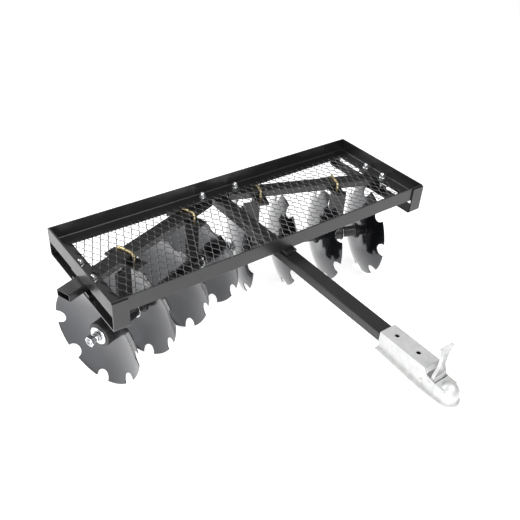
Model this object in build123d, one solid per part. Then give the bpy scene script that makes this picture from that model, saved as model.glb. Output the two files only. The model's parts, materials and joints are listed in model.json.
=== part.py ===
from build123d import *
from math import cos, degrees, radians, sin, sqrt, atan2
import os

# Tow-behind disc harrow: a welded angle-iron weight tray stands on two gangs of notched
# discs set in a V, and is pulled by a centre tongue with a ball coupler.
# Millimetres. X runs across the machine, +Y to the rear, +Z up.
# The origin is on the ground, below the middle of the machine's length and width.

# ---- weight tray ----
tray_length = 1219.0            # across the machine
tray_depth = 424.0              # front to rear
rail_height = 50.0              # upright leg of the angle iron
rail_leg = 50.0                 # flat leg, turned in under the floor
rail_wall = 5.0
floor_thickness = 3.0
floor_lap = 10.0                # how far the floor lies on each flat leg
mesh_pitch_x = 26.7             # the floor's diamond openings, short way
mesh_pitch_y = 55.8             # and long way
mesh_strand = 3.2

strap_width = 50.0
strap_thickness = 5.0
strap_drop = 102.5              # tray's top edge to the strap's underside
strap_top_gap = 4.0             # the strap's ends stop this far below the tray's top edge
strap_bend = 9.0                # outside radius of the strap's corners

# ---- gang beams and what holds them ----
beam_width = 50.8
beam_height = 25.4
beam_wall = 3.0
tube_corner = 3.2               # outside corner radius of both rectangular tubes
beam_drop = 10.0                # space between tray and beam
beam_inner_end = 25.0           # beam past its inboard bolt
beam_outer_end = 640.0          # inboard bolt to the beam's outer end
pivot_x = 68.7                  # inboard bolt to the centre line
pivot_inset = 27.0              # inboard bolt to the tray's rear face
clamp_y = 2.0                   # where the beam passes under the side rail
clamp_spacing = 88.0            # between the two bolts that straddle the beam
pad_margin = 12.0               # clamp pad past its bolts
spacer_diameter = 36.0

bolt_diameter = 12.0
bolt_hole_play = 0.5            # hole's radius less the bolt's
head_width = 19.0               # across flats
head_height = 8.0
washer_diameter = 25.0
washer_thickness = 2.5

# ---- discs and gangs ----
disc_diameter = 355.6
disc_thickness = 3.5
disc_dish = 34.0                # depth of the bowl
disc_flat = 88.0                # flat middle of the bowl
disc_count = 4                  # on each gang
disc_spacing = 172.0
disc_outermost = 545.0          # inboard bolt to the rim of the outermost disc
notch_count = 8
notch_radius = 25.0
notch_centre = 174.3            # notch's centre to the axle's
left_turns = (2.5, 18.5, 33.5, 22.0)    # how far each disc is turned on its axle, outermost first
right_turns = (5.5, 31.5, 26.0, 7.0)
axle_drop = 299.3               # tray's top edge to the axle
axle_ahead = 6.0                # axle to the beam's middle, on the tongue's side
axle_diameter = 25.0
axle_past_nut = 3.0
spool_diameter = 42.0
spool_flange = 60.0
spool_flange_thickness = 6.0
hub_diameter = 85.0             # cast hub in the outermost disc's hollow
hub_height = 23.0
end_washer = 63.0
end_washer_hole = 34.0
end_washer_thickness = 4.0
collar_diameter = 31.0          # from the hub to the nut, through the washer
collar_length = 24.0
axle_nut_width = 33.0
axle_nut_height = 17.0

# ---- hangers ----
hanger_at = (("inner", 88.0, -1),    # along the beam from its inboard bolt,
             ("outer", 386.0, 1))    # and which way the leg reaches: 1 is outwards
saddle_length = 46.0            # along the beam
saddle_width = 140.0
saddle_plate = 8.0
leg_plate = 10.0
leg_near = 8.0                  # U-bolt to the leg's edge on one side
leg_far = 54.0                  # and on the other
leg_shoulder = 22.0             # below the saddle, where the leg widens
bearing_diameter = 54.0
bearing_play = 0.08             # radial space between axle and bearing
bearing_end_play = 1.0
bearing_washer = 3.0            # thickness of the washer at each end of a bearing
rod_diameter = 9.0
rod_side_play = 4.0             # U-bolt's leg to the beam's side
rod_bend = 11.0                 # U-bolt's bend, to the rod's middle
ubolt_past_nut = 8.0
small_nut_width = 14.3
small_nut_height = 7.5

# ---- tongue and coupler ----
tongue_width = 50.8
tongue_height = 30.0
tongue_wall = 3.0
tongue_drop = 14.0              # space between tray and tongue
tongue_front = 790.0            # tray's middle to the tongue's front end
tongue_rear_gap = 6.0           # tongue's rear end to the rear rail's upright leg
riser_width = 40.0
riser_length = 66.0
riser_lip = 16.0                # front riser past the tray's front face

coupler_wall = 3.0
coupler_play = 0.3              # space at each side of the tongue
coupler_drop = 55.0             # tray's top edge to the coupler's top plate
coupler_height = 55.0
coupler_overlap = 140.0         # tongue's front end past the coupler's rear edge
coupler_top_length = 162.0
coupler_shoulder = (12.0, 19.0)     # where its sides step down, ahead of and below the top plate's end
coupler_slope = 38.0            # from the top plate's end to the socket's shoulder
coupler_flange = 11.0
nose_flange = 6.0               # the same flange, round the socket
coupler_hole = 13.5
coupler_holes_at = (36.0, 114.0)    # from the rear edge
ball_diameter = 47.6
ball_play = 0.6
ball_ahead = 230.0              # coupler's rear edge to the middle of the ball
ball_drop = 43.0                # coupler's top plate to the middle of the ball
socket_skirt = 26.0             # how far the socket's wall reaches below the ball's middle
rivet_diameter = 6.0
rivet_head = 10.0
rivet_head_height = 2.5
rivet_at = (160.0, 46.0)        # ball clamp's rivet: ahead of the rear edge, and below the top plate
pin_at = (184.0, 35.0)          # latch pin, likewise
pin_play = 0.06
jaw_thickness = 12.0
jaw_side_play = 2.0
latch_height = 116.0            # pin to the lever's tip
latch_foot = 14.0               # diameter round the pin
latch_foot_half = 24.0
latch_neck_half = 11.0
latch_shoulder_at = 24.0        # up the lever from the pin: where it starts to narrow,
latch_neck_from = 52.0          # where its neck starts,
latch_neck_to = 84.0            # and where it starts to flare
latch_bend = 20.0               # radius at each of these
latch_tip_half = 23.0
latch_wall = 2.5
latch_lip = 9.0                 # depth of the lever's turned edges

# ---- levels and places that follow ----
coupler_rear = tongue_front - coupler_overlap       # from the tray's middle
disc_radius = disc_diameter / 2
axle_z = disc_radius
tray_top = axle_z + axle_drop
tray_bottom = tray_top - rail_height
flat_top = tray_bottom + rail_wall
strap_bottom = tray_top - strap_drop
strap_top = strap_bottom + strap_thickness
beam_top = tray_bottom - beam_drop
beam_bottom = beam_top - beam_height
clamp_x = tray_length / 2 - rail_leg / 2
pivot_y = tray_depth / 2 - pivot_inset
gang_yaw = degrees(atan2(pivot_y - clamp_y, clamp_x - pivot_x))
hole_radius = bolt_diameter / 2 + bolt_hole_play
tongue_top = tray_bottom - tongue_drop
coupler_top = tray_top - coupler_drop
ball_radius = ball_diameter / 2 + ball_play
socket_radius = ball_radius + coupler_wall
disc_innermost = disc_outermost - (disc_count - 1) * disc_spacing
rear_end = (pivot_y + (disc_radius - axle_ahead) * cos(radians(gang_yaw))
            - (disc_innermost - disc_thickness) * sin(radians(gang_yaw)))
front_end = coupler_rear + ball_ahead + socket_radius + nose_flange
middle_y = (rear_end - front_end) / 2               # middle of the whole length

UP = (Align.CENTER, Align.CENTER, Align.MIN)
parts = {}


def keep(name, *shapes):
    """Files the solids of a node, moved from the tray's middle to the machine's origin."""
    parts[name] = [Pos(0, -middle_y, 0) * shape for shape in shapes]


def keep_both(name, shapes):
    """Files a left-hand node and its mirror image."""
    keep("left_" + name, *shapes)
    keep("right_" + name, *[mirror(shape, about=Plane.YZ) for shape in shapes])


def block(x, y, z):
    """A box between two values on each axis."""
    middle = Pos((x[0] + x[1]) / 2, (y[0] + y[1]) / 2, (z[0] + z[1]) / 2)
    return middle * Box(x[1] - x[0], y[1] - y[0], z[1] - z[0])


def rod(diameter, low, high):
    return Pos(0, 0, low) * Cylinder(diameter / 2, high - low, align=UP)


def cross_rod(diameter, half_length):
    """A round bar along X."""
    return Rot(0, 90, 0) * Cylinder(diameter / 2, 2 * half_length)


def box_tube(length, width, height, wall):
    """A rectangular tube along X, centred."""
    section = RectangleRounded(width, height, tube_corner)
    section -= RectangleRounded(width - 2 * wall, height - 2 * wall, tube_corner / 4)
    return extrude(Plane.YZ * section, length / 2, both=True)


def hexagon(width, low, high):
    return Pos(0, 0, low) * extrude(RegularPolygon(width / sqrt(3), 6), high - low)


def bolt(low, high):
    """An upright bolt: its head below low, a washer and a domed nut above high."""
    nut_low = high + washer_thickness
    nut_high = nut_low + head_height
    shape = rod(bolt_diameter, low - head_height / 2, nut_high)
    shape += hexagon(head_width, low - head_height, low)
    shape += rod(washer_diameter, high, nut_low)
    shape += hexagon(head_width, nut_low, nut_high)
    return shape + Pos(0, 0, nut_high - 1) * Sphere(head_width * 0.44)


def on_gang(along, level):
    """A place on the left gang's line: out along the beam from its inboard bolt, at a level."""
    return Pos(-pivot_x, pivot_y, level) * Rot(0, 0, 180 + gang_yaw) * Pos(along, 0, 0)


def on_axle(along):
    """A place on the left gang's axle, at the same distance along."""
    return on_gang(along, axle_z) * Pos(0, axle_ahead, 0)


# ---- tray: four angle irons, mitred and welded at the corners ----
def rail(length):
    """An angle iron along X: outer face on Y=0, flat leg towards +Y, ends mitred."""
    half = length / 2
    iron = block((-half, half), (0, rail_wall), (0, rail_height))
    iron += block((-half, half), (0, rail_leg), (0, rail_wall))
    inside = iron.edges().filter_by(Axis.X).sort_by_distance((0, rail_wall, rail_wall))[0]
    iron = fillet(inside, rail_wall * 0.8)
    plan = Polyline((-half, 0), (half, 0), (half - rail_leg, rail_leg), (rail_leg - half, rail_leg), close=True)
    return iron & extrude(make_face(plan), rail_height)


def clamp_holes():
    return [Pos(-clamp_x, clamp_y + side * clamp_spacing / 2, 0) * Cylinder(hole_radius, 2 * tray_top)
            for side in (-1, 1)]


pivot_holes = [Pos(side * pivot_x, pivot_y, 0) * Cylinder(hole_radius, 2 * tray_top) for side in (-1, 1)]
keep("front_rail", Pos(0, -tray_depth / 2, tray_bottom) * rail(tray_length))
keep("rear_rail", Pos(0, tray_depth / 2, tray_bottom) * Rot(0, 0, 180) * rail(tray_length) - pivot_holes)
keep_both("rail", [Pos(-tray_length / 2, 0, tray_bottom) * Rot(0, 0, -90) * rail(tray_depth) - clamp_holes()])


def floor():
    """A flat sheet on the flat legs, with every whole diamond opening that fits inside its edge."""
    half_x = tray_length / 2 - rail_leg + floor_lap
    half_y = tray_depth / 2 - rail_leg + floor_lap
    pitch_across = mesh_pitch_x * mesh_pitch_y / sqrt(mesh_pitch_x ** 2 + mesh_pitch_y ** 2)
    open_share = 1 - mesh_strand / pitch_across
    tip_x = mesh_pitch_x / 2 * open_share
    tip_y = mesh_pitch_y / 2 * open_share
    opening = Polyline((tip_x, 0), (0, tip_y), (-tip_x, 0), (0, -tip_y), close=True)
    columns = int(half_x / mesh_pitch_x * 2)
    rows = int(half_y / mesh_pitch_y * 2)
    openings = []
    for column in range(-columns, columns + 1):
        for row in range(-rows, rows + 1):
            x = column * mesh_pitch_x / 2
            y = row * mesh_pitch_y / 2
            fits = abs(x) + tip_x < half_x - mesh_strand and abs(y) + tip_y < half_y - mesh_strand
            if (column + row) % 2 == 0 and fits:
                openings.append(Pos(x, y, 0) * Wire(opening.edges()))
    sheet = Face(Rectangle(2 * half_x, 2 * half_y).wire(), openings)
    return Pos(0, 0, flat_top) * extrude(sheet, floor_thickness, dir=(0, 0, 1))


keep("floor_mesh", floor())


# ---- straps: flat bar bent into a U under each end of the tray ----
def strap():
    half = tray_depth / 2
    height = strap_drop - strap_top_gap
    outer = Pos(0, height / 2) * Rectangle(2 * half + 2 * strap_thickness, height)
    outer = fillet(outer.vertices().group_by(Axis.Y)[0], strap_bend)
    inner = Pos(0, height / 2 + strap_thickness) * Rectangle(2 * half, height)
    inner = fillet(inner.vertices().group_by(Axis.Y)[0], strap_bend - strap_thickness)
    bar = extrude(Plane.YZ * (outer - inner), strap_width)
    return Pos(-tray_length / 2, 0, strap_bottom) * bar - clamp_holes()


keep_both("strap", [strap()])


# ---- gang beams: rectangular tube, bolted once inboard and clamped at the side rail ----
def beam():
    tube = box_tube(beam_inner_end + beam_outer_end, beam_width, beam_height, beam_wall)
    middle = (beam_outer_end - beam_inner_end) / 2
    return on_gang(middle, beam_top - beam_height / 2) * tube - pivot_holes[0]


def clamp_pads():
    half_x = rail_leg / 2 - 2
    half_y = clamp_spacing / 2 + pad_margin
    levels = ((beam_top, tray_bottom), (strap_top, beam_bottom))
    x = (-clamp_x - half_x, -clamp_x + half_x)
    y = (clamp_y - half_y, clamp_y + half_y)
    return [block(x, y, level) - clamp_holes() for level in levels]


spacer = Pos(-pivot_x, pivot_y, 0) * rod(spacer_diameter, beam_top, tray_bottom) - pivot_holes[0]
keep_both("gang_beam", [beam()])
keep_both("pivot_bolt", [Pos(-pivot_x, pivot_y, 0) * bolt(beam_bottom, flat_top)])
keep_both("pivot_spacer", [spacer])
keep_both("clamp_bolts", [Pos(-clamp_x, clamp_y + side * clamp_spacing / 2, 0) * bolt(strap_bottom, flat_top)
                          for side in (-1, 1)])
keep_both("clamp_pads", clamp_pads())


# ---- hangers: a bar across the beam's underside, a leg, and a bearing sleeve round the axle ----
ubolt_half = beam_width / 2 + rod_side_play + rod_diameter / 2
saddle_bottom = beam_bottom - saddle_plate
leg_height = saddle_bottom - axle_z
bearing_half = (leg_near + leg_far) / 2


def bearing_middle(along, lean):
    return along + lean * (leg_far - leg_near) / 2


def hanger(along, lean):
    saddle = Box(saddle_length, saddle_width, saddle_plate, align=UP)
    for y in (-ubolt_half, ubolt_half):
        saddle -= Pos(0, y, 0) * Cylinder(rod_diameter / 2 + bolt_hole_play, 3 * saddle_plate)
    outline = [(-leg_near, 0), (saddle_length / 2, 0), (saddle_length / 2, -leg_shoulder),
               (leg_far, -leg_shoulder), (leg_far, -leg_height), (-leg_near, -leg_height)]
    leg = make_face(Polyline(*[(lean * x, z) for x, z in outline], close=True))
    leg = Pos(0, axle_ahead, 0) * extrude(Plane.XZ * leg, leg_plate / 2, both=True)
    sleeve = on_axle(bearing_middle(along, lean)) * cross_rod(bearing_diameter, bearing_half)
    bore = on_axle(along) * cross_rod(axle_diameter + 2 * bearing_play, 4 * bearing_half)
    return on_gang(along, saddle_bottom) * (saddle + leg) + sleeve - bore


def ubolt():
    """A rod bent over the beam, with a nut under the saddle on each leg."""
    foot = saddle_bottom - beam_top - small_nut_height - ubolt_past_nut
    crown = rod_diameter / 2
    path = FilletPolyline((0, -ubolt_half, foot), (0, -ubolt_half, crown), (0, ubolt_half, crown),
                          (0, ubolt_half, foot), radius=rod_bend)
    shape = sweep(Pos(0, -ubolt_half, foot) * Circle(rod_diameter / 2), path=path)
    under = saddle_bottom - beam_top
    for y in (-ubolt_half, ubolt_half):
        shape += Pos(0, y, 0) * hexagon(small_nut_width, under - small_nut_height, under)
    return shape


for place, along, lean in hanger_at:
    keep_both(place + "_hanger", [hanger(along, lean)])
    keep_both(place + "_ubolt", [on_gang(along, beam_top) * ubolt()])


# ---- discs: notched bowls, hollow side outwards ----
def disc():
    """A bowl round X: its rim on X=0, its middle towards -X."""
    flat = disc_flat / 2
    rise = disc_radius - flat
    bend = (rise ** 2 + disc_dish ** 2) / (2 * disc_dish)
    middle = -disc_dish + bend - sqrt(bend ** 2 - (rise / 2) ** 2)
    bore = axle_diameter / 2
    inside = [Line((-disc_dish, bore), (-disc_dish, flat)),
              ThreePointArc((-disc_dish, flat), (middle, flat + rise / 2), (0, disc_radius))]
    outline = Curve() + inside
    back = Pos(-disc_thickness, 0) * outline
    ends = [Line((0, disc_radius), (-disc_thickness, disc_radius)),
            Line((-disc_dish - disc_thickness, bore), (-disc_dish, bore))]
    bowl = revolve(make_face(Curve() + inside + back.edges() + ends), Axis.X, 360)
    notch = Pos(0, 0, -notch_centre) * Rot(0, 90, 0) * Cylinder(notch_radius, 4 * disc_dish)
    for i in range(notch_count):
        bowl -= Rot(360 / notch_count * i, 0, 0) * notch
    return bowl


bowl = disc()
for i in range(disc_count):
    rim = on_axle(disc_outermost - i * disc_spacing)
    keep("left_disc_%d" % (i + 1), rim * Rot(left_turns[i], 0, 0) * bowl)
    keep("right_disc_%d" % (i + 1), mirror(rim * Rot(right_turns[i], 0, 0) * bowl, about=Plane.YZ))


# ---- axles: a rod through the discs, spools between them, a washer and nut at each end ----
def tube(start, end, diameter):
    """A ring round the axle between two places on the gang's line."""
    ring = Cylinder(diameter / 2, end - start) - Cylinder(axle_diameter / 2, end - start)
    return on_axle((start + end) / 2) * Rot(0, 90, 0) * ring


def spool(start, end, flange_start, flange_end):
    shape = tube(start, end, spool_diameter)
    if flange_start:
        shape += tube(start, start + spool_flange_thickness, spool_flange)
    if flange_end:
        shape += tube(end - spool_flange_thickness, end, spool_flange)
    return shape


bearings = [bearing_middle(along, lean) for _, along, lean in hanger_at]
bearing_space = bearing_half + bearing_end_play


def spools():
    """Spacers from disc to disc, each broken where a bearing and its washers stand."""
    shapes = []
    half = bearing_space + bearing_washer
    for low_hub, high_hub in zip(hubs[1:], hubs):
        start = low_hub
        end = high_hub - disc_thickness
        inside = [middle for middle in bearings if start < middle < end]
        if inside:
            shapes.append(spool(start, inside[0] - half, True, False))
            shapes.append(spool(inside[0] + half, end, False, True))
        else:
            shapes.append(spool(start, end, True, True))
    return shapes


def washers():
    """The washers at the ends of the bearings."""
    shapes = []
    for middle in bearings:
        shapes.append(tube(middle - bearing_space - bearing_washer, middle - bearing_space, end_washer))
        shapes.append(tube(middle + bearing_space, middle + bearing_space + bearing_washer, end_washer))
    return shapes


def ring(outside, inside, low, high):
    return rod(outside, low, high) - rod(inside, low, high)


def axle_nut(low):
    nut = hexagon(axle_nut_width, low, low + axle_nut_height)
    return nut - Cylinder(axle_diameter / 2, 4 * (low + axle_nut_height))


hubs = [disc_outermost - disc_dish - i * disc_spacing for i in range(disc_count)]
outer_end = on_axle(hubs[0]) * Rot(0, 90, 0)
inner_end = on_axle(hubs[-1] - disc_thickness) * Rot(0, -90, 0)
outer_nut_at = hub_height + collar_length
end_ring = ring(end_washer, end_washer_hole, hub_height, hub_height + end_washer_thickness)
keep_both("end_hub", [outer_end * ring(hub_diameter, axle_diameter, 0, hub_height)])
keep_both("washers", [outer_end * end_ring] + washers())
keep_both("axle_nuts", [outer_end * (ring(collar_diameter, axle_diameter, hub_height, outer_nut_at)
                                     + axle_nut(outer_nut_at)),
                        inner_end * (ring(end_washer, axle_diameter, 0, end_washer_thickness)
                                     + axle_nut(end_washer_thickness))])
axle_inner = hubs[-1] - disc_thickness - end_washer_thickness - axle_nut_height - axle_past_nut
axle_outer = hubs[0] + outer_nut_at + axle_nut_height + axle_past_nut
axle_middle = on_axle((axle_inner + axle_outer) / 2)
keep_both("axle", [axle_middle * cross_rod(axle_diameter, (axle_outer - axle_inner) / 2)])
keep_both("spools", spools())

# ---- tongue: rectangular tube under the tray, on two risers ----
tongue_rear = tray_depth / 2 - rail_wall - tongue_rear_gap
tongue = Rot(0, 0, 90) * box_tube(tongue_front + tongue_rear, tongue_width, tongue_height, tongue_wall)
keep("tongue", Pos(0, (tongue_rear - tongue_front) / 2, tongue_top - tongue_height / 2) * tongue)
riser_front = -tray_depth / 2 - riser_lip
riser_x = (-riser_width / 2, riser_width / 2)
riser_z = (tongue_top, tray_bottom)
keep("tongue_risers", block(riser_x, (riser_front, riser_front + riser_length), riser_z),
     block(riser_x, (tray_depth / 2 - rail_leg, tongue_rear), riser_z))

# ---- coupler: a pressed channel over the tongue, with a ball socket at its nose ----
inner_half = tongue_width / 2 + coupler_play
outer_half = inner_half + coupler_wall
coupler_bottom = coupler_top - coupler_height
ball_y = -coupler_rear - ball_ahead
ball_z = coupler_top - ball_drop
top_end = -coupler_rear - coupler_top_length
slope_end = top_end - coupler_slope
slope_bottom = ball_z + socket_radius * 0.6
shoulder = (top_end - coupler_shoulder[0], coupler_top - coupler_shoulder[1])
skirt_bottom = ball_z - socket_skirt


def side_view(half_width, *points):
    """A closed outline in Y and Z, made solid over a width centred on X=0."""
    return extrude(Plane.YZ * make_face(Polyline(*points, close=True)), half_width, both=True)


body = side_view(outer_half, (-coupler_rear, coupler_bottom), (-coupler_rear, coupler_top),
                 (top_end, coupler_top), shoulder, (slope_end, slope_bottom), (slope_end, skirt_bottom))
flange_half = outer_half + coupler_flange
rim_radius = socket_radius + nose_flange
flange = side_view(flange_half, (-coupler_rear, coupler_bottom),
                   (-coupler_rear, coupler_bottom + coupler_wall), (slope_end, skirt_bottom + coupler_wall),
                   (ball_y, skirt_bottom + coupler_wall), (ball_y, skirt_bottom), (slope_end, skirt_bottom))
flange_plan = Polyline((flange_half, -coupler_rear), (flange_half, top_end), (rim_radius, ball_y),
                       (-rim_radius, ball_y), (-flange_half, top_end), (-flange_half, -coupler_rear), close=True)
flange &= extrude(make_face(flange_plan), coupler_top)
body += flange
body += Pos(0, ball_y, 0) * rod(2 * rim_radius, skirt_bottom, skirt_bottom + coupler_wall)
body += block((-socket_radius, socket_radius), (ball_y, slope_end + coupler_wall), (skirt_bottom, slope_bottom))
body += Pos(0, ball_y, 0) * rod(2 * socket_radius, skirt_bottom, ball_z)
body += Pos(0, ball_y, ball_z) * Sphere(socket_radius, arc_size1=0, align=UP)
body -= side_view(inner_half, (-coupler_rear, skirt_bottom), (-coupler_rear, coupler_top - coupler_wall),
                  (top_end, coupler_top - coupler_wall), (top_end, coupler_top), (slope_end, coupler_top),
                  (slope_end, skirt_bottom))
body -= Pos(0, ball_y, ball_z) * Sphere(ball_radius)
body -= Pos(0, ball_y, 0) * rod(2 * ball_radius, skirt_bottom, ball_z)
for at in coupler_holes_at:
    body -= Pos(0, -coupler_rear - at, coupler_top) * Cylinder(coupler_hole / 2, 4 * coupler_wall)
rivet_place = Pos(0, -coupler_rear - rivet_at[0], coupler_top - rivet_at[1])
pin_place = Pos(0, -coupler_rear - pin_at[0], coupler_top - pin_at[1])
body -= rivet_place * cross_rod(rivet_diameter, 2 * outer_half)
body -= pin_place * cross_rod(rivet_diameter + 2 * pin_play, 2 * outer_half)
keep("coupler", body)


def rivet():
    """A rod across the coupler with a flat head outside each wall."""
    shape = cross_rod(rivet_diameter, outer_half + rivet_head_height)
    for side in (-1, 1):
        head = cross_rod(rivet_head, rivet_head_height / 2)
        shape += Pos(side * (outer_half + rivet_head_height / 2), 0, 0) * head
    return shape


# ---- ball clamp: the jaw behind the ball, on its rivet; and the latch lever on its pin ----
jaw_half = inner_half - jaw_side_play
jaw_rear = -coupler_rear - rivet_at[0] + rivet_diameter
jaw_low = coupler_top - rivet_at[1] - jaw_thickness * 0.75
jaw = block((-jaw_half, jaw_half), (slope_end + 1, jaw_rear), (jaw_low, jaw_low + jaw_thickness))
keep("ball_clamp", jaw + rivet_place * rivet())

half = Polyline((0, 0), (latch_foot_half, 0), (latch_foot_half, latch_shoulder_at),
                (latch_neck_half, latch_neck_from), (latch_neck_half, latch_neck_to),
                (latch_tip_half, latch_height), (0, latch_height), close=True)
face = make_face(half)
face += mirror(face, about=Plane.YZ)
bends = [v for v in face.vertices() if latch_foot < v.Y < latch_height - latch_foot and abs(v.X) > 1]
face = fillet(bends, latch_bend)
hollow = offset(face, -latch_wall)
hollow += Pos(0, latch_height) * Rectangle(2 * (latch_tip_half - 2 * latch_wall), 3 * latch_wall)
lever = extrude(Plane.XZ * face, latch_lip) - Pos(0, -latch_wall, 0) * extrude(Plane.XZ * hollow, latch_lip)
lever += cross_rod(latch_foot, latch_foot_half)
keep("latch_lever", pin_place * (lever + rivet()))

os.makedirs("parts", exist_ok=True)
for name, shapes in parts.items():
    solids = [solid for shape in shapes for solid in shape.solids()]
    export_step(solids[0] if len(solids) == 1 else Compound(children=solids), "parts/%s.step" % name)
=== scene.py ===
import json
from math import atan2, cos, pi, radians, sin, sqrt
import bpy
from mathutils import Matrix, Vector


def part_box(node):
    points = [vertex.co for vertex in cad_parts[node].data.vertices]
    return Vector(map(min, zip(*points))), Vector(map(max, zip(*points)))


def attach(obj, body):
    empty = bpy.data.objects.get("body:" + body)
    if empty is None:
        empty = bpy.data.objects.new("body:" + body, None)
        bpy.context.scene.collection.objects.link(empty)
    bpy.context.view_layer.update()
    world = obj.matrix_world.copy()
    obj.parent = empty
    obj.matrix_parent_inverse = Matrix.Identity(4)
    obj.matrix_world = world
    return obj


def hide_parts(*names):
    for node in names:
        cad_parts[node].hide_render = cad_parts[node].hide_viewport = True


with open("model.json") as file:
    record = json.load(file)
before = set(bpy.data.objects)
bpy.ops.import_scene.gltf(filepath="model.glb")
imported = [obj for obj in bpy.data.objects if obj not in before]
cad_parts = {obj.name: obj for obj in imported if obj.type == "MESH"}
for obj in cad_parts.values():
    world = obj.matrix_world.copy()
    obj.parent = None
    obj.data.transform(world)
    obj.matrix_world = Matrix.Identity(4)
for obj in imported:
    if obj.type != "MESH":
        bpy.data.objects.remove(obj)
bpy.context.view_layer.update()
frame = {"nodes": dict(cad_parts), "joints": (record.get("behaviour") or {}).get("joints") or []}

# ---- Tray rails ------------------------------------------------------------------------------
# Four lengths of 50 mm hot-rolled angle iron, mitred and welded into an open tray.
# Black gloss powder coat all over: deep black, with the fine orange peel of sprayed powder.


def new_material(name):
    material = bpy.data.materials.new(name)
    material.use_nodes = True
    return material, material.node_tree, material.node_tree.nodes["Principled BSDF"]


def add(tree, kind, **inputs):
    """A node of that kind, with its sockets set or linked by name."""
    node = tree.nodes.new(kind)
    for key, value in inputs.items():
        socket = node.inputs[key.replace("_", " ")]
        if isinstance(value, bpy.types.NodeSocket):
            tree.links.new(value, socket)
        else:
            socket.default_value = value
    return node


def noise(tree, scale, detail=4.0):
    where = tree.nodes.new("ShaderNodeTexCoord").outputs["Object"]
    return add(tree, "ShaderNodeTexNoise", Vector=where, Scale=scale, Detail=detail).outputs["Fac"]


def blend(tree, amount, first, second, low=0.35, high=0.7):
    """First colour or grey where the pattern is low, second where it is high."""
    node = add(tree, "ShaderNodeValToRGB", Fac=amount)
    for element, place, tone in zip(node.color_ramp.elements, (low, high), (first, second)):
        element.position = place
        element.color = (*tone, 1) if isinstance(tone, tuple) else (tone, tone, tone, 1)
    return node.outputs["Color"]


def powder_coat(name, dark, light, smooth, dull, peel, shine=0.65):
    material, tree, shader = new_material(name)
    tree.links.new(blend(tree, noise(tree, 14), dark, light), shader.inputs["Base Color"])
    tree.links.new(blend(tree, noise(tree, 24), smooth, dull, 0.2, 0.8), shader.inputs["Roughness"])
    shader.inputs["Specular IOR Level"].default_value = shine
    skin = add(tree, "ShaderNodeBump", Height=noise(tree, 420, 2), Strength=peel, Distance=0.0004)
    tree.links.new(skin.outputs["Normal"], shader.inputs["Normal"])
    return material


black = powder_coat("black_powder_coat", (0.007, 0.007, 0.0075), (0.012, 0.012, 0.013), 0.27, 0.35, 0.15)


def only(piece):
    bpy.ops.object.select_all(action="DESELECT")
    piece.select_set(True)
    bpy.context.view_layer.objects.active = piece


def shade(piece, angle=35):
    only(piece)
    bpy.ops.object.shade_smooth_by_angle(angle=radians(angle))


def dress(piece, material, slot, body, *replaced):
    """Finish and body of a piece, and the nodes that it stands for, which it hides. Its slot is not used."""
    piece.data.materials.clear()
    piece.data.materials.append(material)
    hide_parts(*replaced)
    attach(piece, body)


def rounded(node, edge, material, slot, body, segments=2):
    """A frame node's shape with its sharp edges rounded."""
    bpy.ops.object.select_all(action="DESELECT")
    piece = bpy.data.objects.new(node + "_rounded", frame["nodes"][node].data.copy())
    bpy.context.scene.collection.objects.link(piece)
    only(piece)
    bpy.ops.object.mode_set(mode="EDIT")
    bpy.ops.mesh.select_all(action="SELECT")
    bpy.ops.mesh.remove_doubles(threshold=0.00001)
    bpy.ops.mesh.dissolve_limited(angle_limit=radians(0.5))
    bpy.ops.object.mode_set(mode="OBJECT")
    bevel = piece.modifiers.new("edges", "BEVEL")
    bevel.width = edge
    bevel.segments = segments
    bevel.limit_method = "ANGLE"
    bevel.angle_limit = radians(40)
    bpy.ops.object.modifier_apply(modifier="edges")
    shade(piece)
    piece.modifiers.new("flats", "WEIGHTED_NORMAL").keep_sharp = True
    bpy.ops.object.modifier_apply(modifier="flats")
    dress(piece, material, slot, body, node)
    return piece


for rail in ("front_rail", "rear_rail", "left_rail", "right_rail"):
    rounded(rail, 0.0012, black, "black_paint", "frame")

# ---- Tray floor ------------------------------------------------------------------------------
# One sheet of raised expanded metal, slit and stretched into diamonds and laid on the rails' flat
# legs. Each strand zigzags from front to rear, tilted, and meets its neighbours at the bonds.
# Black powder coat, a shade lighter than the rails'.
floor_low, floor_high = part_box("floor_mesh")
pitch_x = 0.0267
pitch_y = 0.0558
bond_half = 0.0035
strand_width = 0.0030
strand_thickness = 0.0016
strand_tilt = radians(50)
across = Vector((cos(strand_tilt), 0, -sin(strand_tilt))) * strand_width / 2
through = Vector((sin(strand_tilt), 0, cos(strand_tilt))) * strand_thickness / 2
strand_rise = 0.0026
strand_z = floor_low.z + strand_rise
strand_count = round((floor_high.x - floor_low.x) / (pitch_x / 2))
bond_count = round((floor_high.y - floor_low.y) / (pitch_y / 2))
points = []
faces = []
for strand in range(strand_count):
    middle_x = floor_low.x + (strand + 0.5) * pitch_x / 2
    rings = []
    for bond in range(bond_count + 1):
        side = 1 if (strand + bond) % 2 else -1
        x = middle_x + side * (pitch_x / 4 - across.x)
        z = strand_z - side * across.z
        for end in (-1, 1):
            y = floor_low.y + bond * pitch_y / 2 + end * bond_half
            if floor_low.y <= y <= floor_high.y:
                rings.append(len(points))
                points += [Vector((x, y, z)) + a * across + b * through
                           for a, b in ((-1, -1), (1, -1), (1, 1), (-1, 1))]
    for first, second in zip(rings, rings[1:]):
        for corner in range(4):
            following = (corner + 1) % 4
            faces.append((first + corner, first + following, second + following, second + corner))
    faces.append(tuple(range(rings[0], rings[0] + 4)))
    faces.append(tuple(range(rings[-1], rings[-1] + 4)))
strands = bpy.data.meshes.new("expanded_metal")
strands.from_pydata(points, [], faces)
expanded = bpy.data.objects.new("expanded_metal", strands)
bpy.context.scene.collection.objects.link(expanded)
only(expanded)
bpy.ops.object.mode_set(mode="EDIT")
bpy.ops.mesh.select_all(action="SELECT")
bpy.ops.mesh.normals_make_consistent(inside=False)
bpy.ops.object.mode_set(mode="OBJECT")
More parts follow.
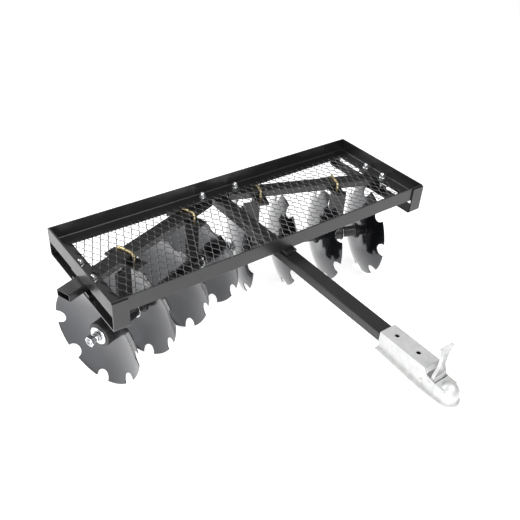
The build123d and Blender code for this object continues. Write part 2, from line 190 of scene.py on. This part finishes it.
strand_black = powder_coat("strand_powder_coat", (0.010, 0.010, 0.011), (0.018, 0.018, 0.019),
                           0.30, 0.40, 0.15, 1.0)
dress(expanded, strand_black, "black_paint", "frame", "floor_mesh")

# ---- End straps, gang beams and clamp pads ---------------------------------------------------
# The straps are 50 x 5 mm flat bar bent into a U under each end of the tray. The gang beams are
# rectangular tube, each held by one bolt inboard and between two flat pads at the side rail.
# All in the rails' black powder coat.
for side in ("left", "right"):
    rounded(side + "_strap", 0.0010, black, "black_paint", "frame")
    rounded(side + "_gang_beam", 0.0008, black, "black_paint", "frame")
    rounded(side + "_clamp_pads", 0.0008, black, "black_paint", "frame")
    rounded(side + "_pivot_spacer", 0.0006, black, "black_paint", "frame")

# ---- Tongue and its risers -------------------------------------------------------------------
# A rectangular tube that runs the tray's whole depth and out in front, welded to two short
# blocks of bar under the rails. Black powder coat.
rounded("tongue", 0.0006, black, "black_paint", "frame")
rounded("tongue_risers", 0.0010, black, "black_paint", "frame")

# ---- Bolts with domed nuts -------------------------------------------------------------------
# Zinc-plated hexagon bolts that come up through the tray's flat legs: a washer and an acorn nut
# on top, the bolt's head underneath.


def zinc(name, color, darker, smooth, dull, metallic=1.0):
    """Plated steel: a blotchy reflection with a fine grain."""
    material, tree, shader = new_material(name)
    shader.inputs["Metallic"].default_value = metallic
    tree.links.new(blend(tree, noise(tree, 60), darker, color, 0.3), shader.inputs["Base Color"])
    tree.links.new(blend(tree, noise(tree, 160), smooth, dull, 0.3), shader.inputs["Roughness"])
    grain = add(tree, "ShaderNodeBump", Height=noise(tree, 900, 3), Strength=0.12, Distance=0.0002)
    tree.links.new(grain.outputs["Normal"], shader.inputs["Normal"])
    return material


bright_zinc = zinc("bright_zinc", (0.80, 0.81, 0.82), (0.62, 0.63, 0.65), 0.18, 0.34)


def turned(rings, sides=32):
    """A shape turned on a lathe, given as rings of (radius, height); its ends are closed."""
    bpy.ops.object.select_all(action="DESELECT")
    radius, height = rings[0]
    bpy.ops.mesh.primitive_circle_add(vertices=sides, radius=radius, location=(0, 0, 0))
    piece = bpy.context.object
    bpy.ops.object.mode_set(mode="EDIT")
    bpy.ops.transform.translate(value=(0, 0, height))
    for next_radius, next_height in rings[1:]:
        bpy.ops.mesh.extrude_region_move(TRANSFORM_OT_translate={"value": (0, 0, next_height - height)})
        scale = next_radius / radius
        bpy.ops.transform.resize(value=(scale, scale, 1), center_override=(0, 0, next_height))
        radius, height = next_radius, next_height
    bpy.ops.mesh.select_all(action="SELECT")
    bpy.ops.mesh.remove_doubles(threshold=0.00001)
    bpy.ops.mesh.fill_holes(sides=0)
    bpy.ops.mesh.select_all(action="SELECT")
    bpy.ops.mesh.normals_make_consistent(inside=False)
    bpy.ops.object.mode_set(mode="OBJECT")
    return piece


def joined(name, *pieces):
    only(pieces[0])
    for piece in pieces[1:]:
        piece.select_set(True)
    if len(pieces) > 1:
        bpy.ops.object.join()
    pieces[0].name = name
    pieces[0].data.name = name
    return pieces[0]


def washer(outside, inside, low, high):
    edge = (high - low) * 0.25
    return turned([(inside, low), (outside - edge, low), (outside, low + edge), (outside, high - edge),
                   (outside - edge, high), (inside, high), (inside, low)])


def hexagon(across_flats, low, high):
    """A nut's or head's hexagon, its corners turned off at both ends."""
    corner = across_flats / sqrt(3)
    face = across_flats * 0.475
    drop = (corner - face) * 0.58
    stock = turned([(face, low), (corner * 1.02, low + drop), (corner * 1.02, high - drop), (face, high)], 48)
    bpy.ops.object.select_all(action="DESELECT")
    bpy.ops.mesh.primitive_cylinder_add(vertices=6, radius=corner, depth=high - low,
                                        location=(0, 0, (low + high) / 2))
    nut = bpy.context.object
    bpy.ops.object.transform_apply(location=True)
    cut = nut.modifiers.new("corners", "BOOLEAN")
    cut.operation = "INTERSECT"
    cut.object = stock
    bpy.ops.object.modifier_apply(modifier="corners")
    bpy.data.objects.remove(stock)
    return nut


def placed(piece, matrix):
    """Sets a piece at its place, with the place in its mesh."""
    piece.matrix_world = matrix
    only(piece)
    bpy.ops.object.transform_apply(location=True, rotation=True, scale=True)
    return piece


def copy_of(piece, matrix):
    twin = bpy.data.objects.new(piece.name, piece.data.copy())
    bpy.context.scene.collection.objects.link(twin)
    return placed(twin, matrix)


shank = 0.0060
head = 0.0190
head_height = 0.0080
washer_radius = 0.0125
washer_height = 0.0025
rail_wall = 0.005
overlap = 0.001
flat_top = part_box("front_rail")[0].z + rail_wall


def domed_bolt(node, x, y):
    """A bolt from under its node's box up through the rail's flat leg."""
    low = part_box(node)[0].z
    nut = flat_top + washer_height
    dome = head * 0.46
    crown = [(dome * cos(radians(turn)), nut + head_height - 0.0004 + dome * sin(radians(turn)) * 1.1)
             for turn in range(0, 90, 12)]
    parts = [hexagon(head, low, low + head_height), hexagon(head, nut, nut + head_height),
             turned([(shank, low + overlap), (shank, nut + overlap)], 24),
             washer(washer_radius, shank, flat_top, nut), turned([(dome, nut + overlap)] + crown, 24)]
    return placed(joined("bolt", *parts), Matrix.Translation((x, y, 0)))


for side in ("left", "right"):
    low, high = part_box(side + "_pivot_bolt")
    pivot_bolt = domed_bolt(side + "_pivot_bolt", (low.x + high.x) / 2, (low.y + high.y) / 2)
    low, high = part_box(side + "_clamp_bolts")
    clamp_bolts = [domed_bolt(side + "_clamp_bolts", (low.x + high.x) / 2, y)
                   for y in (low.y + washer_radius, high.y - washer_radius)]
    pairs = (("pivot_bolt", [pivot_bolt]), ("clamp_bolts", clamp_bolts))
    for name, bolts in pairs:
        piece = joined("%s_%s_domed" % (side, name), *bolts)
        shade(piece, 32)
        dress(piece, bright_zinc, "zinc_hardware", "frame", side + "_" + name)

# ---- Hangers ---------------------------------------------------------------------------------
# Each is a flat bar across the beam's underside, a wide leg of 10 mm plate welded to it, and a
# short thick tube welded round the axle as its bearing. Powder coated with the frame.
for side in ("left", "right"):
    for place in ("inner", "outer"):
        rounded("%s_%s_hanger" % (side, place), 0.0012, black, "black_paint", "frame")

# ---- U-bolts ---------------------------------------------------------------------------------
# A 9 mm rod bent over the beam at each hanger, with a nut under the bar on each leg.
# Yellow zinc plate, which looks gold with a trace of green.
axle_axis = {joint["child"]: Vector(joint["axis"]) for joint in frame["joints"]}
axle_point = {joint["child"]: Vector(joint["pos_m"]) for joint in frame["joints"]}
point_along = 0.2725
axle_ahead = 0.006


def gang_place(side, along, ahead=0.0, rise=0.0):
    """A place by its distance out along the axle, ahead of it and above it; its X runs outwards."""
    body = side + "_gang"
    outwards = axle_axis[body] * (1 if side == "right" else -1)
    turn = Matrix.Rotation(atan2(outwards.y, outwards.x), 4, "Z")
    forward = turn.to_3x3() @ Vector((0, 1, 0)) * (1 if side == "left" else -1)
    spot = axle_point[body] + outwards * (along - point_along) + forward * ahead
    return Matrix.Translation(spot + Vector((0, 0, rise))) @ turn


yellow_zinc = zinc("yellow_zinc", (0.92, 0.79, 0.46), (0.78, 0.62, 0.30), 0.34, 0.5)
axle_z = axle_point["left_gang"].z
beam_low, beam_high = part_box("left_gang_beam")
rod = 0.0045
leg_y = 0.0339
bend = 0.0110
plate = 0.008
rod_foot = -0.0489
rod_nut = 0.0075
rod_nut_width = 0.0143
thread_turns = 5
thread_pitch = 0.0015
thread_swell = 1.03


def ubolt():
    """Round the beam's top at height 0: a circle drawn up one leg, over, and down the other."""
    bpy.ops.object.select_all(action="DESELECT")
    bpy.ops.mesh.primitive_circle_add(vertices=20, radius=rod, location=(0, 0, 0))
    piece = bpy.context.object
    bpy.ops.object.mode_set(mode="EDIT")
    bpy.ops.transform.translate(value=(0, -leg_y, rod_foot))
    shoulder = rod - bend
    bpy.ops.mesh.extrude_region_move(TRANSFORM_OT_translate={"value": (0, 0, shoulder - rod_foot)})
    bpy.ops.mesh.spin(steps=9, angle=pi / 2, center=(0, bend - leg_y, shoulder), axis=(1, 0, 0))
    bpy.ops.mesh.extrude_region_move(TRANSFORM_OT_translate={"value": (0, 2 * (leg_y - bend), 0)})
    bpy.ops.mesh.spin(steps=9, angle=pi / 2, center=(0, leg_y - bend, shoulder), axis=(1, 0, 0))
    bpy.ops.mesh.extrude_region_move(TRANSFORM_OT_translate={"value": (0, 0, rod_foot - shoulder)})
    bpy.ops.mesh.select_all(action="SELECT")
    bpy.ops.mesh.remove_doubles(threshold=0.00001)
    bpy.ops.mesh.fill_holes(sides=0)
    bpy.ops.mesh.select_all(action="SELECT")
    bpy.ops.mesh.normals_make_consistent(inside=False)
    bpy.ops.object.mode_set(mode="OBJECT")
    parts = [piece]
    under = beam_low.z - beam_high.z - plate
    for y in (-leg_y, leg_y):
        thread = []
        for turn in range(thread_turns):
            top = under - rod_nut - turn * thread_pitch
            thread += [(rod, top), (rod, top - 0.0004), (rod * 0.9, top - 0.00095), (rod, top - thread_pitch)]
        leg_place = Matrix.Translation((0, y, 0))
        parts.append(placed(hexagon(rod_nut_width, under - rod_nut, under), leg_place))
        parts.append(placed(turned([(radius * thread_swell, z) for radius, z in thread], 20), leg_place))
    return joined("ubolt", *parts)


ubolt_at = {"inner": 0.088, "outer": 0.386}
pattern = ubolt()
shade(pattern, 32)
for side in ("left", "right"):
    for place, along in ubolt_at.items():
        spot = gang_place(side, along, -axle_ahead, beam_high.z - axle_z)
        piece = copy_of(pattern, spot)
        piece.name = "%s_%s_ubolt_bent" % (side, place)
        dress(piece, yellow_zinc, "yellow_zinc", "frame", "%s_%s_ubolt" % (side, place))
bpy.data.objects.remove(pattern)

# ---- Discs -----------------------------------------------------------------------------------
# Four notched bowls on each gang, pressed from 3.5 mm plate. Dark paint under a clear gloss coat,
# with the faint rings that turning and rolling leave.


def disc_paint(side):
    material, tree, shader = new_material(side + "_disc_paint")
    tree.links.new(blend(tree, noise(tree, 9), (0.024, 0.025, 0.030), (0.040, 0.042, 0.049)),
                   shader.inputs["Base Color"])
    tree.links.new(blend(tree, noise(tree, 40), 0.14, 0.22), shader.inputs["Roughness"])
    shader.inputs["Metallic"].default_value = 0.8
    shader.inputs["Coat Weight"].default_value = 1.0
    shader.inputs["Coat Roughness"].default_value = 0.10
    where = tree.nodes.new("ShaderNodeTexCoord").outputs["Object"]
    centred = add(tree, "ShaderNodeMapping", Vector=where)
    centred.vector_type = "TEXTURE"
    axis = axle_axis[side + "_gang"]
    centred.inputs["Location"].default_value = axle_point[side + "_gang"]
    centred.inputs["Rotation"].default_value = (0, 0, atan2(axis.y, axis.x))
    rings = add(tree, "ShaderNodeTexWave", Vector=centred.outputs["Vector"], Scale=40, Distortion=1.5,
                Detail=2)
    rings.wave_type = "RINGS"
    rings.rings_direction = "X"
    worn = add(tree, "ShaderNodeBump", Height=rings.outputs["Fac"], Strength=0.05, Distance=0.0003)
    skin = add(tree, "ShaderNodeBump", Height=noise(tree, 300, 2), Strength=0.1, Distance=0.0003,
               Normal=worn.outputs["Normal"])
    tree.links.new(skin.outputs["Normal"], shader.inputs["Normal"])
    return material


for side in ("left", "right"):
    paint = disc_paint(side)
    for number in (1, 2, 3, 4):
        rounded("%s_disc_%d" % (side, number), 0.0008, paint, "disc_paint", side + "_gang")

# ---- Axles, spools, hubs and nuts ------------------------------------------------------------
# A drawn steel rod runs through each gang's discs. Cast spools with a flange at each disc keep
# them apart, a cast hub fills the outermost bowl, and a nut closes each end over zinc washers.
drawn_steel = zinc("drawn_steel", (0.52, 0.52, 0.54), (0.36, 0.36, 0.38), 0.3, 0.5)
cast_black = powder_coat("cast_black", (0.006, 0.006, 0.0065), (0.011, 0.011, 0.012), 0.35, 0.5, 0.5)
axle = 0.0125
disc_wall = 0.0035
hub_at = [0.511, 0.339, 0.167, -0.005]
hub_height = 0.023
collar_end = 0.047
nut_height = 0.017
end_plate = 0.004
bearing_at = {"inner": 0.065, "outer": 0.409}
bearing_half = 0.032
rim_edge = 0.001
bearing_washer = 0.003
large_washer = 0.0315
end_washer_hole = 0.017
collar = 0.0155
axle_nut_width = 0.033
past_nut = 0.003
centre_hole = 0.004
centre_mouth = 0.005
centre_depth = 0.006
axle_chamfer = 0.0012


def spool(start, end, start_flange, end_flange):
    """A casting that flares from its waist into a flange where it meets a disc."""
    waist, rim, thick, flare = 0.021, 0.030, 0.006, 0.007
    rings = [(axle, start)]
    if start_flange:
        rings += [(rim - rim_edge, start), (rim, start + rim_edge), (rim, start + thick - rim_edge),
                  (rim - rim_edge, start + thick), (waist + flare * 0.3, start + thick + flare * 0.3),
                  (waist, start + thick + flare)]
    else:
        rings += [(waist - rim_edge, start), (waist, start + rim_edge)]
    if end_flange:
        rings += [(waist, end - thick - flare), (waist + flare * 0.3, end - thick - flare * 0.3),
                  (rim - rim_edge, end - thick), (rim, end - thick + rim_edge), (rim, end - rim_edge),
                  (rim - rim_edge, end)]
    else:
        rings += [(waist, end - rim_edge), (waist - rim_edge, end)]
    return turned(rings + [(axle, end), (axle, start)], 40)


inner_bearing, outer_bearing = bearing_at["inner"], bearing_at["outer"]
clear = bearing_half + bearing_washer
inner_nut = hub_at[3] - disc_wall - end_plate
outer_nut = hub_at[0] + collar_end
hub = 0.0425
axle_low = inner_nut - nut_height - past_nut
axle_high = outer_nut + nut_height + past_nut
gang_parts = {
    "spools": (cast_black, "black_paint", [
        spool(hub_at[3], inner_bearing - clear, True, False),
        spool(inner_bearing + clear, hub_at[2] - disc_wall, False, True),
        spool(hub_at[2], hub_at[1] - disc_wall, True, True),
        spool(hub_at[1], outer_bearing - clear, True, False),
        spool(outer_bearing + clear, hub_at[0] - disc_wall, False, True)]),
    "end_hub": (cast_black, "black_paint", [
        turned([(axle, hub_at[0]), (hub, hub_at[0]), (hub, hub_at[0] + hub_height - 0.003),
                (hub - 0.001, hub_at[0] + hub_height - 0.001), (hub - 0.003, hub_at[0] + hub_height),
                (axle, hub_at[0] + hub_height), (axle, hub_at[0])], 64)]),
    "washers": (bright_zinc, "zinc_hardware", [
        washer(large_washer, end_washer_hole, hub_at[0] + hub_height, hub_at[0] + hub_height + end_plate)] + [
        washer(large_washer, axle, at + side * (bearing_half + bearing_washer / 2) - bearing_washer / 2,
               at + side * (bearing_half + bearing_washer / 2) + bearing_washer / 2)
        for at in bearing_at.values() for side in (-1, 1)]),
    "axle_nuts": (bright_zinc, "zinc_hardware", [
        washer(collar, axle, hub_at[0] + hub_height, outer_nut),
        hexagon(axle_nut_width, outer_nut, outer_nut + nut_height),
        washer(large_washer, axle, inner_nut, inner_nut + end_plate),
        hexagon(axle_nut_width, inner_nut - nut_height, inner_nut)]),
    "axle": (drawn_steel, "axle_steel", [
        turned([(centre_hole, axle_low + centre_depth), (centre_mouth, axle_low),
                (axle - axle_chamfer, axle_low), (axle, axle_low + axle_chamfer),
                (axle, axle_high - axle_chamfer), (axle - axle_chamfer, axle_high),
                (centre_mouth, axle_high), (centre_hole, axle_high - centre_depth)])]),
}
lie_down = Matrix.Rotation(pi / 2, 4, "Y")
for name, (material, slot, pieces) in gang_parts.items():
    pattern = joined(name, *pieces)
    shade(pattern, 32)
    for side in ("left", "right"):
        piece = copy_of(pattern, gang_place(side, 0) @ lie_down)
        piece.name = "%s_%s_turned" % (side, name)
        dress(piece, material, slot, side + "_gang", side + "_" + name)
    bpy.data.objects.remove(pattern)

# ---- Coupler, ball clamp and latch -----------------------------------------------------------
# Pressed steel: a channel over the tongue's end with a ball socket at its nose, a jaw behind the
# ball, and an upright lever that locks it. Silver zinc plate, dull and pale.
silver_zinc = zinc("silver_zinc", (0.66, 0.66, 0.65), (0.57, 0.58, 0.58), 0.38, 0.5, 0.5)
rounded("coupler", 0.0015, silver_zinc, "coupler_zinc", "frame")
rounded("ball_clamp", 0.0008, silver_zinc, "coupler_zinc", "frame")
rounded("latch_lever", 0.0008, silver_zinc, "coupler_zinc", "latch")

# ---- Ground, light and camera ----------------------------------------------------------------
# Not part of the machine: a wide white floor, three soft lamps and an even white surround.
bpy.ops.object.select_all(action="DESELECT")
bpy.ops.mesh.primitive_plane_add(size=14, location=(0, 0, 0))
ground = bpy.context.object
ground.name = "ground"
ground_material, tree, shader = new_material("ground")
shader.inputs["Base Color"].default_value = (0.95, 0.95, 0.95, 1)
shader.inputs["Roughness"].default_value = 0.9
shader.inputs["Emission Color"].default_value = (1, 1, 1, 1)
shader.inputs["Emission Strength"].default_value = 0.55
rays = tree.nodes.new("ShaderNodeLightPath").outputs
seen = add(tree, "ShaderNodeMath", Value=rays["Is Camera Ray"])
for kind in ("Is Glossy Ray", "Is Transmission Ray"):
    either = add(tree, "ShaderNodeMath")
    either.operation = "MAXIMUM"
    tree.links.new(seen.outputs[0], either.inputs[0])
    tree.links.new(rays[kind], either.inputs[1])
    seen = either
dim = add(tree, "ShaderNodeBsdfDiffuse", Color=(0.35, 0.35, 0.36, 1))
choice = tree.nodes.new("ShaderNodeMixShader")
tree.links.new(seen.outputs[0], choice.inputs[0])
tree.links.new(dim.outputs[0], choice.inputs[1])
tree.links.new(shader.outputs[0], choice.inputs[2])
tree.links.new(choice.outputs[0], tree.nodes["Material Output"].inputs["Surface"])
ground.data.materials.append(ground_material)

world = bpy.data.worlds.new("studio")
bpy.context.scene.world = world
world.use_nodes = True
world.node_tree.nodes["Background"].inputs["Color"].default_value = (1, 1, 1, 1)
world.node_tree.nodes["Background"].inputs["Strength"].default_value = 0.4


def area_light(name, place, aim, size, power):
    light = bpy.data.lights.new(name, "AREA")
    light.size = size
    light.energy = power
    lamp = bpy.data.objects.new(name, light)
    bpy.context.scene.collection.objects.link(lamp)
    lamp.location = place
    lamp.rotation_euler = (Vector(aim) - Vector(place)).to_track_quat("-Z", "Y").to_euler()


area_light("key", (-2.5, -2.1, 1.3), (0, 0.1, 0.3), 1.3, 78)
area_light("back", (-1.3, 2.7, 2.2), (0, 0.3, 0.4), 2.4, 75)
area_light("top", (0.3, -1.3, 2.6), (0, -0.3, 0.3), 1.6, 40)

camera_data = bpy.data.cameras.new("camera")
camera_data.lens = 46.22
camera = bpy.data.objects.new("camera", camera_data)
bpy.context.scene.collection.objects.link(camera)
tray_low, tray_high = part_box("front_rail")
tray_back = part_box("rear_rail")[1].y
camera.location = (-1.1552, (tray_low.y + tray_back) / 2 - 1.4977, tray_high.z + 1.1585)
turn = Matrix.Rotation(radians(-39.02), 3, "Z") @ Matrix.Rotation(radians(90 - 36.17), 3, "X")
camera.rotation_euler = (turn @ Matrix.Rotation(radians(4.10), 3, "Z")).to_euler()
bpy.context.scene.camera = camera
bpy.context.scene.view_settings.view_transform = "Standard"
